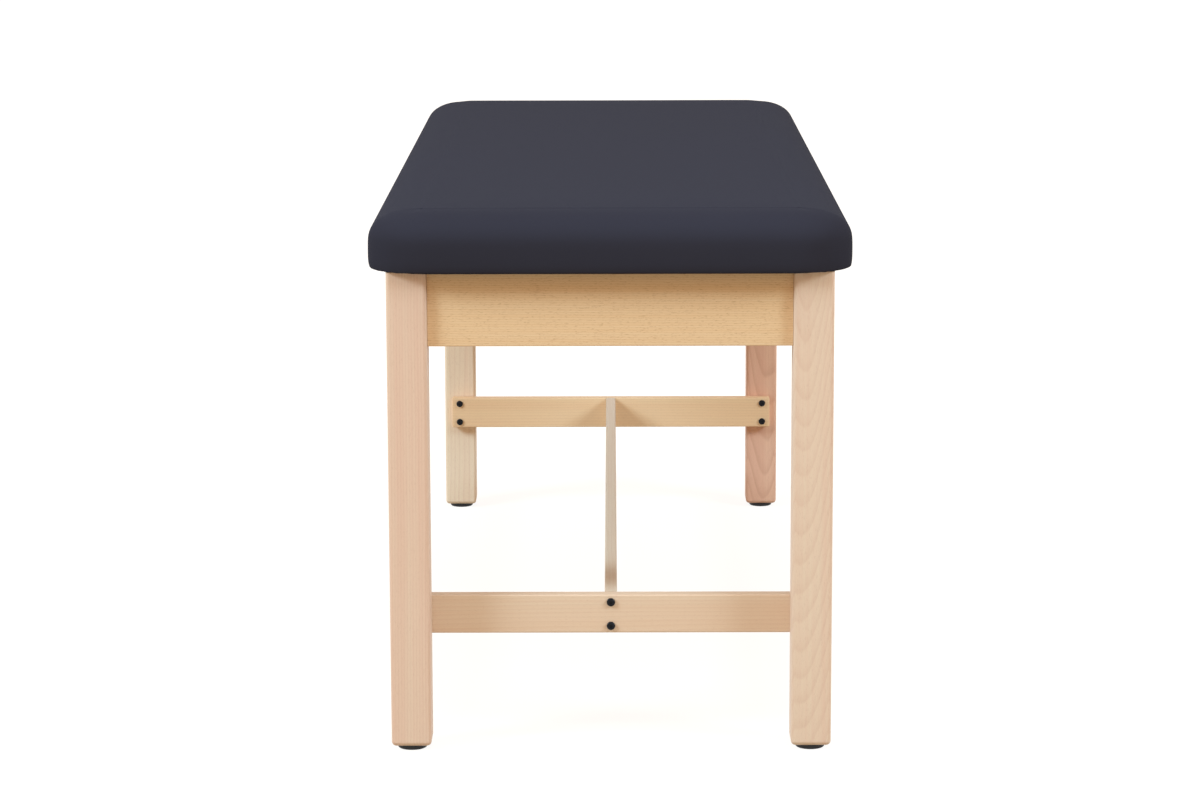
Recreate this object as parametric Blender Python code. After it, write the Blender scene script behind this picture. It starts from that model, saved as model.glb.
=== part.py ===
# Padded treatment table: a vinyl pad on a wooden frame with an H brace, on four levelling glides.
# Metres, +Z up. The origin is on the floor under the middle, +Y runs along the table and +X across it.
# The near end is the -Y end, left is -X.
import math

import bmesh
import bpy
from mathutils import Matrix, Vector

for old in list(bpy.data.objects):
    bpy.data.objects.remove(old, do_unlink=True)

# Overall sizes
table_height = 0.788
pad_length = 1.829
pad_width = 0.697
pad_thickness = 0.0825
end_overhang = 0.0255  # the pad past the legs' outer faces
side_overhang = 0.0285

# Clearances
touch_gap = 0.0003  # between faces that touch
cut_overrun = 0.004  # how far a cutter runs past a face
tip_room = 0.002  # air past the tip of a screw in its blind hole

# Pad
pad_corner_radius = 0.088
pad_roll_width = 0.066  # the rounded upper edge, measured inwards
pad_roll_height = 0.042
pad_tuck_width = 0.0045  # the lower edge drawn in under the pad
pad_tuck_height = 0.018
pad_crown = 0.003
pad_crown_reach = 0.2  # from the pad's outline to where the crown is full
cover_thickness = 0.0014
hem_width = 0.05  # the cover turned in between the board and the frame
board_thickness = 0.019

# Legs
leg_size = 0.058
leg_edge_round = 0.005
leg_end_round = 0.007

# Aprons and their corner blocks
apron_height = 0.1085
apron_thickness = 0.019
apron_setback = 0.012  # behind the legs' outer faces
apron_edge_round = 0.0015
block_thickness = 0.028
block_height = 0.06
block_leg_gap = 0.003  # left open so that the bolt draws the leg in

# Cross rails and the stretcher between them
rail_height = 0.057
rail_thickness = 0.022
rail_bottom = 0.1635
rail_end_inset = 0.0145  # rail ends inside the legs' outer faces
rail_edge_round = 0.002
stretcher_thickness = 0.018

# Black socket-head screws of the brace
brace_screw_spacing = 0.0355
brace_head_radius = 0.0061
brace_head_height = 0.0036
brace_head_round = 0.0016
brace_socket_width = 0.004
brace_socket_depth = 0.002
brace_shank_radius = 0.0032
brace_tip_length = 0.002
leg_grip = 0.038  # rail screw inside the leg
barrel_radius = 0.005
barrel_length = 0.014
barrel_from_end = 0.03
bolt_past_barrel = 0.005

# Hanger bolts, their nuts and the screws into the board
hanger_radius = 0.004
hanger_leg_grip = 0.034
hanger_tail = 0.005
hanger_point = 0.006
nut_width = 0.013
nut_height = 0.008
nut_flange_radius = 0.009
nut_flange_thickness = 0.002
board_screw_radius = 0.0025
board_screw_grip = 0.03  # wood under the board that it passes
board_screw_bite = 0.014  # inside the board
board_screw_head_radius = 0.005
board_screw_head_height = 0.003
board_screw_side = 0.026  # from the hanger bolt, along the block
board_screw_well = 0.0015  # room round its head

# Levelling glides
glide_radius = 0.0215
glide_height = 0.0072
glide_floor = 0.002
glide_lip = 0.0018
glide_bottom_round = 0.0028
glide_top_round = 0.0006
stem_radius = 0.004
stem_flange_radius = 0.007
stem_length = 0.03
stem_chamfer = 0.001
stem_running_gap = 0.0006
tee_flange_radius = 0.0095
tee_flange_thickness = 0.0015
tee_barrel_radius = 0.0052
tee_length = 0.012

# Counts
pad_corner_steps = 8
pad_roll_steps = 6
pad_tuck_steps = 3
pad_crown_steps = 3
leg_corner_steps = 3
leg_end_steps = 3
round_sides = 12
glide_sides = 24
edge_steps = 2
least_corner_share = 0.3  # a ring's corners keep this much of their radius however far it is drawn in

# Places that follow from the sizes
half_width = pad_width / 2 - side_overhang
half_length = pad_length / 2 - end_overhang
pad_bottom = table_height - pad_thickness
board_bottom = pad_bottom + cover_thickness + touch_gap
frame_top = pad_bottom - touch_gap
leg_bottom = glide_height + touch_gap
apron_inside = apron_setback + apron_thickness
rail_middle = rail_bottom + rail_height / 2
screw_heights = {
    "lower": rail_middle - brace_screw_spacing / 2,
    "upper": rail_middle + brace_screw_spacing / 2,
}
ends = {"near": -1, "far": 1}
sides = {"left": -1, "right": 1}
root_two = math.sqrt(2)


def paint(name, color, roughness, metallic=0.0):
    material = bpy.data.materials.new(name)
    material.use_nodes = True
    shader = material.node_tree.nodes["Principled BSDF"]
    shader.inputs["Base Color"].default_value = (*color, 1)
    shader.inputs["Roughness"].default_value = roughness
    shader.inputs["Metallic"].default_value = metallic
    return material


vinyl = paint("vinyl", (0.034, 0.034, 0.047), 0.42)
foam = paint("foam", (0.82, 0.78, 0.62), 0.95)
board = paint("board", (0.55, 0.41, 0.26), 0.75)
leg_wood = paint("leg_wood", (0.69, 0.48, 0.33), 0.5)
apron_wood = paint("apron_wood", (0.75, 0.51, 0.26), 0.5)
rail_wood = paint("rail_wood", (0.72, 0.5, 0.33), 0.5)
black_steel = paint("black_steel", (0.012, 0.012, 0.014), 0.45, 0.6)
zinc = paint("zinc", (0.6, 0.6, 0.58), 0.35, 1.0)
glide_plastic = paint("glide_plastic", (0.01, 0.01, 0.01), 0.6)

table = bpy.data.objects.new("table", None)
bpy.context.collection.objects.link(table)


def rounded_ring(half_x, half_y, radius, inset, height, steps):
    """One level of a block with rounded corners, drawn in by inset on every side."""
    corner = max(radius - inset, radius * least_corner_share)
    x = half_x - inset - corner
    y = half_y - inset - corner
    ring = []
    for quarter, (side, end) in enumerate(((1, 1), (-1, 1), (-1, -1), (1, -1))):
        for step in range(steps + 1):
            angle = math.radians(90) * (quarter + step / steps)
            ring.append(
                (side * x + corner * math.cos(angle), end * y + corner * math.sin(angle), height)
            )
    return ring


def round_ring(radius, height, count):
    turn = math.tau / count
    return [(radius * math.cos(turn * i), radius * math.sin(turn * i), height) for i in range(count)]


def hex_ring(width, height, count):
    """A hexagon of the given width across its flats, with its points shared out at equal angles."""
    ring = []
    for i in range(count):
        angle = math.tau * i / count
        off_flat = (angle + math.radians(30)) % math.radians(60) - math.radians(30)
        reach = width / 2 / math.cos(math.radians(30) - abs(off_flat))
        ring.append((reach * math.cos(angle), reach * math.sin(angle), height))
    return ring


def skin(rings, closed=False):
    """A closed surface through the rings, capped at both ends or, when closed, joined end to end."""
    shape = bmesh.new()
    levels = [[shape.verts.new(point) for point in ring] for ring in rings]
    pairs = list(zip(levels, levels[1:]))
    if closed:
        pairs.append((levels[-1], levels[0]))
    else:
        shape.faces.new(levels[0])
        shape.faces.new(levels[-1])
    for low, high in pairs:
        for i in range(len(low)):
            after = (i + 1) % len(low)
            shape.faces.new((low[i], low[after], high[after], high[i]))
    bmesh.ops.recalc_face_normals(shape, faces=shape.faces)
    return shape


def add(name, shape, material, place=Matrix(), smooth=True):
    mesh = bpy.data.meshes.new(name)
    shape.to_mesh(mesh)
    shape.free()
    if smooth:
        mesh.shade_smooth()
        mesh.set_sharp_from_angle(angle=math.radians(40))
    piece = bpy.data.objects.new(name, mesh)
    piece.data.materials.append(material)
    piece.parent = table
    piece.matrix_world = place
    bpy.context.collection.objects.link(piece)
    return piece


def cut(piece, name, shape, place=Matrix()):
    cutter = add(f"{piece.name}_{name}_cutter", shape, zinc, place, smooth=False)
    cutter.hide_render = True
    cutter.display_type = "WIRE"
    hole = piece.modifiers.new(name, "BOOLEAN")
    hole.object = cutter
    hole.solver = "EXACT"


def facing(direction, point):
    """A place whose own +Z looks along direction."""
    turn = Vector((0, 0, 1)).rotation_difference(Vector(direction))
    return Matrix.Translation(point) @ turn.to_matrix().to_4x4()


def rod(radius, low, high):
    return skin([round_ring(radius, low, round_sides), round_ring(radius, high, round_sides)])


def plank(name, material, size, middle, rounding, along=None):
    """A board with eased edges: all of them, or only those that run along one axis."""
    shape = bmesh.new()
    bmesh.ops.create_cube(shape, size=1, matrix=Matrix.Diagonal((*size, 1)))
    eased = []
    for edge in shape.edges:
        run = edge.verts[1].co - edge.verts[0].co
        if along is None or abs(run[along]) > touch_gap:
            eased.append(edge)
    bmesh.ops.bevel(
        shape, geom=eased, offset=rounding, segments=edge_steps, profile=0.5, affect="EDGES"
    )
    return add(name, shape, material, Matrix.Translation(middle))


# Pad


def pad_section(depth):
    """The pad's section as insets and heights, from the lower edge to the crown, drawn in by depth."""
    section = []
    for step in range(pad_tuck_steps + 1):
        angle = math.radians(90) * step / pad_tuck_steps
        section.append((
            depth + pad_tuck_width * (1 - math.sin(angle)),
            pad_bottom + pad_tuck_height - (pad_tuck_height - depth) * math.cos(angle),
        ))
    shoulder = table_height - pad_crown - pad_roll_height
    for step in range(pad_roll_steps + 1):
        angle = math.radians(90) * step / pad_roll_steps
        section.append((
            depth + (pad_roll_width - depth) * (1 - math.cos(angle)),
            shoulder + (pad_roll_height - depth) * math.sin(angle),
        ))
    for step in range(1, pad_crown_steps + 1):
        share = step / pad_crown_steps
        section.append((
            pad_roll_width + (pad_crown_reach - pad_roll_width) * share,
            table_height - depth - pad_crown * (1 - share) ** 2,
        ))
    return section


def pad_rings(section):
    return [
        rounded_ring(pad_width / 2, pad_length / 2, pad_corner_radius, inset, height, pad_corner_steps)
        for inset, height in section
    ]


def make_pad():
    outside = pad_section(0)
    inside = pad_section(cover_thickness)
    hem = pad_tuck_width + hem_width
    outside.insert(0, (hem, pad_bottom))
    inside.insert(0, (hem, pad_bottom + cover_thickness))
    add("vinyl_cover", skin(pad_rings(inside[::-1] + outside)), vinyl)

    board_top = board_bottom + board_thickness
    core = [point for point in pad_section(cover_thickness + touch_gap) if point[1] > board_top + touch_gap]
    core.insert(0, (cover_thickness + touch_gap, board_top + touch_gap))
    add("foam_core", skin(pad_rings(core)), foam)

    edge = pad_tuck_width + cover_thickness + touch_gap
    base = add("base_board", skin(pad_rings([(edge, board_bottom), (edge, board_top)])), board)
    for end_name, end in ends.items():
        for side_name, side in sides.items():
            x, y = board_screw_place(side, end)
            pilot = rod(board_screw_radius + touch_gap, -cut_overrun, board_screw_bite + tip_room)
            cut(base, f"{end_name}_{side_name}", pilot, Matrix.Translation((x, y, board_bottom)))


# Legs


def leg_middle(side, end):
    return side * (half_width - leg_size / 2), end * (half_length - leg_size / 2)


def make_leg(name, side, end):
    middle_x, middle_y = leg_middle(side, end)
    rings = []
    for step in range(leg_end_steps + 1):
        angle = math.radians(90) * step / leg_end_steps
        inset = leg_end_round * (1 - math.sin(angle))
        height = leg_bottom + leg_end_round * (1 - math.cos(angle))
        rings.append((inset, height))
    rings.append((0, frame_top))
    shape = skin([
        rounded_ring(leg_size / 2, leg_size / 2, leg_edge_round, inset, height, leg_corner_steps)
        for inset, height in rings
    ])
    leg = add(f"leg_{name}", shape, leg_wood, Matrix.Translation((middle_x, middle_y, 0)))

    seat = leg_bottom + tee_flange_thickness + touch_gap
    barrel_top = leg_bottom + tee_length + touch_gap
    stem_top = glide_floor + touch_gap + stem_length + tip_room
    well = [
        (tee_flange_radius, leg_bottom - cut_overrun),
        (tee_flange_radius, seat),
        (tee_barrel_radius, seat),
        (tee_barrel_radius, barrel_top),
        (stem_radius, barrel_top),
        (stem_radius, stem_top),
    ]
    shape = skin([round_ring(radius + touch_gap, height, round_sides) for radius, height in well])
    cut(leg, "glide_well", shape, Matrix.Translation((middle_x, middle_y, 0)))

    for level, height in screw_heights.items():
        face = Vector((middle_x, end * (half_length - leg_size), height))
        shape = rod(brace_shank_radius + touch_gap, -leg_grip - tip_room, cut_overrun)
        cut(leg, f"{level}_screw", shape, facing((0, -end, 0), face))

    shape = rod(hanger_radius + touch_gap, -hanger_leg_grip - tip_room, cut_overrun)
    cut(leg, "hanger", shape, hanger_place(side, end))


# Aprons, corner blocks and what holds them


def hanger_height():
    return frame_top - block_height / 2


def hanger_place(side, end, past_leg=0):
    """On the hanger bolt's line, at a distance past the leg's inner corner, looking inwards."""
    run = past_leg / root_two
    point = (
        side * (half_width - leg_size - run),
        end * (half_length - leg_size - run),
        hanger_height(),
    )
    return facing((-side / root_two, -end / root_two, 0), point)


def board_screw_place(side, end):
    middle = leg_size + (block_leg_gap + block_thickness / 2) / root_two
    shift = board_screw_side / root_two
    return side * (half_width - middle - shift), end * (half_length - middle + shift)


def make_aprons():
    length = 2 * (half_width - leg_size - touch_gap)
    middle_height = frame_top - apron_height / 2
    from_edge = apron_setback + apron_thickness / 2
    for name, end in ends.items():
        size = (length, apron_thickness, apron_height)
        middle = (0, end * (half_length - from_edge), middle_height)
        plank(f"{name}_end_apron", apron_wood, size, middle, apron_edge_round, along=0)
    length = 2 * (half_length - leg_size - touch_gap)
    for name, side in sides.items():
        size = (apron_thickness, length, apron_height)
        middle = (side * (half_width - from_edge), 0, middle_height)
        plank(f"{name}_side_apron", apron_wood, size, middle, apron_edge_round, along=1)


def make_corner_block(name, side, end):
    seat = apron_inside + touch_gap
    front = 2 * leg_size + block_leg_gap * root_two
    back = front + block_thickness * root_two
    outline = [(seat, front - seat), (seat, back - seat), (back - seat, seat), (front - seat, seat)]
    rings = [
        [(side * (half_width - x), end * (half_length - y), height) for x, y in outline]
        for height in (frame_top - block_height, frame_top)
    ]
    block = add(f"corner_block_{name}", skin(rings), board, smooth=False)

    through = block_leg_gap + block_thickness + cut_overrun
    shape = rod(hanger_radius + touch_gap, 0, through)
    cut(block, "hanger", shape, hanger_place(side, end))

    x, y = board_screw_place(side, end)
    well_top = frame_top - board_screw_grip
    well_radius = board_screw_head_radius + board_screw_well
    shank_radius = board_screw_radius + touch_gap
    well = [
        (well_radius, frame_top - block_height - cut_overrun),
        (well_radius, well_top),
        (shank_radius, well_top),
        (shank_radius, frame_top + cut_overrun),
    ]
    shape = skin([round_ring(radius, height, round_sides) for radius, height in well])
    cut(block, "board_screw", shape, Matrix.Translation((x, y, 0)))


def make_hanger_set(name, side, end):
    nut_seat = block_leg_gap + block_thickness + touch_gap
    tail = nut_seat + nut_height + hanger_tail
    bolt = [
        (hanger_radius / 2, -hanger_leg_grip),
        (hanger_radius, hanger_point - hanger_leg_grip),
        (hanger_radius, tail - stem_chamfer),
        (hanger_radius - stem_chamfer, tail),
    ]
    shape = skin([round_ring(radius, height, round_sides) for radius, height in bolt])
    add(f"hanger_bolt_{name}", shape, zinc, hanger_place(side, end))

    bore = hanger_radius + touch_gap
    shape = skin(
        [
            round_ring(bore, 0, round_sides),
            round_ring(nut_flange_radius, 0, round_sides),
            round_ring(nut_flange_radius, nut_flange_thickness, round_sides),
            hex_ring(nut_width, nut_flange_thickness, round_sides),
            hex_ring(nut_width, nut_height, round_sides),
            round_ring(bore, nut_height, round_sides),
        ],
        closed=True,
    )
    add(f"flange_nut_{name}", shape, zinc, hanger_place(side, end, nut_seat))


def make_board_screw(name, side, end):
    x, y = board_screw_place(side, end)
    seat = frame_top - board_screw_grip - touch_gap
    tip = board_bottom + board_screw_bite
    screw = [
        (board_screw_head_radius - board_screw_radius / 2, seat - board_screw_head_height),
        (board_screw_head_radius, seat - board_screw_head_height / 2),
        (board_screw_head_radius, seat),
        (board_screw_radius, seat),
        (board_screw_radius, tip - 2 * board_screw_radius),
        (board_screw_radius / 2, tip),
    ]
    shape = skin([round_ring(radius, height, round_sides) for radius, height in screw])
    add(f"board_screw_{name}", shape, zinc, Matrix.Translation((x, y, 0)))


# Brace: two cross rails and the stretcher


def rail_middle_y(end):
    return end * (half_length - leg_size - touch_gap - rail_thickness / 2)


def make_rail(name, end):
    size = (2 * (half_width - rail_end_inset), rail_thickness, rail_height)
    middle = (0, rail_middle_y(end), rail_middle)
    rail = plank(f"{name}_cross_rail", rail_wood, size, middle, rail_edge_round)
    reach = rail_thickness / 2 + cut_overrun
    places = {"left": leg_middle(-1, end)[0], "middle": 0, "right": leg_middle(1, end)[0]}
    for place, x in places.items():
        for level, height in screw_heights.items():
            shape = rod(brace_shank_radius + touch_gap, -reach, reach)
            cut(rail, f"{place}_{level}", shape, facing((0, end, 0), (x, middle[1], height)))


def make_stretcher():
    length = 2 * (abs(rail_middle_y(1)) - rail_thickness / 2 - touch_gap)
    size = (stretcher_thickness, length, rail_height)
    stretcher = plank("long_stretcher", rail_wood, size, (0, 0, rail_middle), rail_edge_round, along=1)
    depth = barrel_from_end + barrel_radius + bolt_past_barrel + tip_room
    for end_name, end in ends.items():
        for level, height in screw_heights.items():
            face = (0, end * length / 2, height)
            shape = rod(brace_shank_radius + touch_gap, -depth, cut_overrun)
            cut(stretcher, f"{end_name}_{level}_bolt", shape, facing((0, end, 0), face))
            pocket = rod(
                barrel_radius + touch_gap,
                -barrel_length / 2 - touch_gap,
                stretcher_thickness / 2 + cut_overrun,
            )
            middle = Vector((0, end * (length / 2 - barrel_from_end), height))
            cut(stretcher, f"{end_name}_{level}_barrel", pocket, facing((1, 0, 0), middle))
            shape = rod(barrel_radius, -barrel_length / 2, barrel_length / 2)
            barrel = add(f"barrel_nut_{end_name}_{level}", shape, zinc, facing((1, 0, 0), middle))
            reach = barrel_radius + cut_overrun
            shape = rod(brace_shank_radius + touch_gap, -reach, reach)
            cut(barrel, "bolt", shape, facing((0, end, 0), middle))


def brace_screw(grip):
    """A low socket head above its seat at zero, with its shank running down through grip."""
    head = brace_head_height + touch_gap
    shoulder = head - brace_head_round
    face_radius = brace_head_radius - brace_head_round
    floor = head - brace_socket_depth
    return skin([
        hex_ring(brace_socket_width, floor, round_sides),
        hex_ring(brace_socket_width, head, round_sides),
        round_ring(face_radius, head, round_sides),
        round_ring(face_radius + brace_head_round * math.sin(math.radians(45)),
                   shoulder + brace_head_round * math.cos(math.radians(45)), round_sides),
        round_ring(brace_head_radius, shoulder, round_sides),
        round_ring(brace_head_radius, touch_gap, round_sides),
        round_ring(brace_shank_radius, touch_gap, round_sides),
        round_ring(brace_shank_radius, brace_tip_length - grip, round_sides),
        round_ring(brace_shank_radius / 2, -grip, round_sides),
    ])


def make_brace_screws():
    inner = half_length - leg_size - touch_gap - rail_thickness
    outer = inner + rail_thickness
    leg_screw_grip = rail_thickness + touch_gap + leg_grip
    bolt_grip = rail_thickness + touch_gap + barrel_from_end + barrel_radius + bolt_past_barrel
    for end_name, end in ends.items():
        for level, height in screw_heights.items():
            for side_name, side in sides.items():
                point = (leg_middle(side, end)[0], end * inner, height)
                place = facing((0, -end, 0), point)
                name = f"rail_screw_{end_name}_{side_name}_{level}"
                add(name, brace_screw(leg_screw_grip), black_steel, place)
            place = facing((0, end, 0), (0, end * outer, height))
            name = f"stretcher_bolt_{end_name}_{level}"
            add(name, brace_screw(bolt_grip), black_steel, place)


# Levelling glides


def make_glide(name, side, end):
    place = Matrix.Translation((*leg_middle(side, end), 0))
    pocket = stem_flange_radius + stem_running_gap
    pocket_top = glide_height - glide_lip
    neck = stem_radius + stem_running_gap
    disc = [
        (pocket, glide_floor),
        (pocket, pocket_top),
        (neck, pocket_top),
        (neck, glide_height),
        (glide_radius - glide_top_round, glide_height),
        (glide_radius, glide_height - glide_top_round),
    ]
    for degrees in (0, 45, 90):
        angle = math.radians(degrees)
        disc.append((
            glide_radius - glide_bottom_round * (1 - math.cos(angle)),
            glide_bottom_round * (1 - math.sin(angle)),
        ))
    shape = skin([round_ring(radius, height, glide_sides) for radius, height in disc])
    add(f"glide_disc_{name}", shape, glide_plastic, place)

    foot = glide_floor + touch_gap
    top = foot + stem_length
    stem = [
        (stem_flange_radius, foot),
        (stem_flange_radius, pocket_top - touch_gap),
        (stem_radius, pocket_top - touch_gap),
        (stem_radius, top - stem_chamfer),
        (stem_radius - stem_chamfer, top),
    ]
    shape = skin([round_ring(radius, height, round_sides) for radius, height in stem])
    add(f"glide_stem_{name}", shape, zinc, place)

    bore = stem_radius + touch_gap
    shape = skin(
        [
            round_ring(bore, leg_bottom, round_sides),
            round_ring(tee_flange_radius, leg_bottom, round_sides),
            round_ring(tee_flange_radius, leg_bottom + tee_flange_thickness, round_sides),
            round_ring(tee_barrel_radius, leg_bottom + tee_flange_thickness, round_sides),
            round_ring(tee_barrel_radius, leg_bottom + tee_length, round_sides),
            round_ring(bore, leg_bottom + tee_length, round_sides),
        ],
        closed=True,
    )
    add(f"tee_nut_{name}", shape, zinc, place)


make_pad()
make_aprons()
for end_name, end in ends.items():
    for side_name, side in sides.items():
        corner_name = f"{end_name}_{side_name}"
        make_leg(corner_name, side, end)
        make_corner_block(corner_name, side, end)
        make_hanger_set(corner_name, side, end)
        make_board_screw(corner_name, side, end)
        make_glide(corner_name, side, end)
    make_rail(end_name, end)
make_stretcher()
make_brace_screws()
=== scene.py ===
import math
import bmesh
import bpy
from mathutils import Matrix, Vector, noise


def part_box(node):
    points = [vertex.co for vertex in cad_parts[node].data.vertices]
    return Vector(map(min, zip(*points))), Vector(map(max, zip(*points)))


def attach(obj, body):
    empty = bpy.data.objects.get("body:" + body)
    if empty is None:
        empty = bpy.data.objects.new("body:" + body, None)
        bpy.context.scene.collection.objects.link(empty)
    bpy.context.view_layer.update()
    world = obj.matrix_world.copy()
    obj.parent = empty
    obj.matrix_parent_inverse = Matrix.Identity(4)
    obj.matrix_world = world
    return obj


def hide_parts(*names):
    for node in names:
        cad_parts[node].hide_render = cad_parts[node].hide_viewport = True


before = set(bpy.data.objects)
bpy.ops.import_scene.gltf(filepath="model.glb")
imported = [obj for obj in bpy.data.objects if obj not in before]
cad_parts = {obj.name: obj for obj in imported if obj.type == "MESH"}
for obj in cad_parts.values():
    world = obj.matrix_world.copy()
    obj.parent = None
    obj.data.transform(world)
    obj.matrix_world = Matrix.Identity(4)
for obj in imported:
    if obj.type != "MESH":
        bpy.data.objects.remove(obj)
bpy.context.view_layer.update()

# Padded treatment table: a vinyl pad on a beech frame with an H brace. Metres, +Z up, +Y along the table.
corners = {"near_left": (-1, -1), "near_right": (1, -1), "far_left": (-1, 1), "far_right": (1, 1)}
print("frame:", len(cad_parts), "nodes")


# Making and finishing pieces

def deselectAll():
    if bpy.context.object and bpy.context.object.mode == "EDIT":
        bpy.ops.object.mode_set(mode="OBJECT")
    bpy.ops.object.select_all(action="DESELECT")


def activate(piece):
    deselectAll()
    piece.select_set(True)
    bpy.context.view_layer.objects.active = piece


def edit(piece, kind="FACE"):
    activate(piece)
    bpy.ops.object.mode_set(mode="EDIT")
    bpy.ops.mesh.select_mode(type=kind)
    bpy.ops.mesh.select_all(action="DESELECT")


def leaveEdit():
    bpy.ops.object.mode_set(mode="OBJECT")


def pickFaces(piece, test):
    # test gets each face's middle and normal
    bpy.ops.mesh.select_all(action="DESELECT")
    shape = bmesh.from_edit_mesh(piece.data)
    for face in shape.faces:
        if test(face.calc_center_median(), face.normal):
            face.select_set(True)
    bmesh.update_edit_mesh(piece.data)


def pickEdges(piece, test):
    # test gets each edge's middle and direction
    bpy.ops.mesh.select_all(action="DESELECT")
    shape = bmesh.from_edit_mesh(piece.data)
    for edge in shape.edges:
        a, b = (vert.co for vert in edge.verts)
        if test((a + b) / 2, (b - a).normalized()):
            edge.select_set(True)
    bmesh.update_edit_mesh(piece.data)


def applyModifiers(piece):
    activate(piece)
    for modifier in list(piece.modifiers):
        bpy.ops.object.modifier_apply(modifier=modifier.name)


def newest(name):
    # names the piece just added, and puts its place and scale into its shape
    piece = bpy.context.object
    piece.name = piece.data.name = name
    bpy.ops.object.transform_apply(location=True, rotation=True, scale=True)
    return piece


def startBox(name, low, high):
    deselectAll()
    low, high = Vector(low), Vector(high)
    bpy.ops.mesh.primitive_cube_add(size=1, location=(low + high) / 2, scale=high - low)
    return newest(name)


def roundEdges(piece, width, segments, share):
    # share gets an edge's middle and direction, and gives its part of the full width
    weights = piece.data.attributes.new("bevel_weight_edge", "FLOAT", "EDGE")
    for edge in piece.data.edges:
        a, b = (piece.data.vertices[i].co for i in edge.vertices)
        weights.data[edge.index].value = share((a + b) / 2, (b - a).normalized())
    bevel = piece.modifiers.new("rounding", "BEVEL")
    bevel.width = width
    bevel.segments = segments
    bevel.limit_method = "WEIGHT"
    applyModifiers(piece)
    piece.data.attributes.remove(piece.data.attributes["bevel_weight_edge"])


def startLine(name, points):
    # an open line of points, drawn in edit mode
    deselectAll()
    bpy.ops.mesh.primitive_plane_add(size=0.001)
    piece = newest(name)
    bpy.ops.object.mode_set(mode="EDIT")
    bpy.ops.mesh.select_mode(type="VERT")
    bpy.ops.mesh.select_all(action="SELECT")
    bpy.ops.mesh.merge(type="CENTER")
    bpy.ops.transform.translate(value=points[0])
    for before, after in zip(points, points[1:]):
        step = Vector(after) - Vector(before)
        bpy.ops.mesh.extrude_vertices_move(TRANSFORM_OT_translate={"value": step})
    return piece


def cutAway(point, normal):
    # in edit mode: cuts off what lies past a plane, and closes the cut
    bpy.ops.mesh.select_all(action="SELECT")
    bpy.ops.mesh.bisect(plane_co=point, plane_no=normal, use_fill=True, clear_outer=True)


def closeSeams():
    bpy.ops.mesh.select_all(action="SELECT")
    bpy.ops.mesh.remove_doubles(threshold=1e-6)
    bpy.ops.mesh.normals_make_consistent(inside=False)


def turned(name, outline, steps=48):
    # the outline is radius and height pairs, spun about Z
    piece = startLine(name, [(radius, 0, height) for radius, height in outline])
    bpy.ops.mesh.select_all(action="SELECT")
    bpy.ops.mesh.spin(steps=steps, angle=math.tau, center=(0, 0, 0), axis=(0, 0, 1))
    closeSeams()
    leaveEdit()
    return piece


def plug(low, high, radius, far=None, steps=32):
    # a rod along Z, or a cone whose far end has its own radius
    return turned("plug", [(0, low), (radius, low), (far or radius, high), (0, high)], steps)


def threaded(name, radius, low, high, depth=0.00065, pitch=0.00125, steps=24):
    # a thread that runs past both ends, then is cut off and closed there
    start = low - 2 * pitch
    points = [(radius - depth, 0, start), (radius, 0, start + pitch / 2), (radius - depth, 0, start + pitch)]
    piece = startLine(name, points)
    leaveEdit()
    helix = piece.modifiers.new("helix", "SCREW")
    helix.screw_offset = pitch
    helix.iterations = math.ceil((high - low) / pitch) + 4
    helix.steps = helix.render_steps = steps
    helix.use_merge_vertices = False
    applyModifiers(piece)
    edit(piece, "VERT")
    closeSeams()
    cutAway((0, 0, high), (0, 0, 1))
    cutAway((0, 0, low), (0, 0, -1))
    closeSeams()
    leaveEdit()
    return piece


def prism(name, width, low, high):
    # a hexagon of that width across its flats
    deselectAll()
    bpy.ops.mesh.primitive_cylinder_add(vertices=6, radius=width / math.sqrt(3), depth=high - low,
                                        location=(0, 0, (low + high) / 2))
    return newest(name)


def carve(piece, cutter, operation="DIFFERENCE"):
    cut = piece.modifiers.new("carving", "BOOLEAN")
    cut.object = cutter
    cut.operation = operation
    cut.solver = "EXACT"
    applyModifiers(piece)
    bpy.data.objects.remove(cutter)


def copyPiece(piece, name, move):
    twin = piece.copy()
    twin.data = piece.data.copy()
    twin.name = twin.data.name = name
    twin.data.transform(move)
    bpy.context.scene.collection.objects.link(twin)
    return twin


def joinPieces(piece, *others):
    activate(piece)
    for other in others:
        other.select_set(True)
    bpy.ops.object.join()
    return piece


def facing(direction, point):
    # turns +Z to look along direction, and moves to point
    turn = Vector((0, 0, 1)).rotation_difference(Vector(direction))
    return Matrix.Translation(point) @ turn.to_matrix().to_4x4()


def finishPiece(piece, finish, nodes, body="table", smooth=35, weigh=True):
    piece.data.materials.clear()
    piece.data.materials.append(finish)
    activate(piece)
    bpy.ops.object.shade_smooth_by_angle(angle=math.radians(smooth))
    if weigh:  # keeps the flats flat beside rounded edges
        weighted = piece.modifiers.new("flats", "WEIGHTED_NORMAL")
        weighted.keep_sharp = True
        applyModifiers(piece)
    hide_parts(*nodes)
    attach(piece, body)


def vectors(points):
    return [Vector(point) for point in points]


def boxMiddle(node):
    low, high = vectors(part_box(node))
    return (low + high) / 2


def standing(node):
    middle = boxMiddle(node)
    return Matrix.Translation((middle.x, middle.y, 0))


def pieceName(node):
    words = node.split("_")
    return words[0] + "".join(word.capitalize() for word in words[1:])


def spread(first, kind, place, finish="zinc", body="table"):
    # a copy at each node of that kind, and the first one goes
    for node in sorted(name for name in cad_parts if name.startswith(kind)):
        twin = copyPiece(first, pieceName(node), place(node))
        corner = "_".join(node.split("_")[-2:])
        finishPiece(twin, finishes[finish], [node], body.format(corner))
    bpy.data.objects.remove(first)


# Shader nodes

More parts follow.
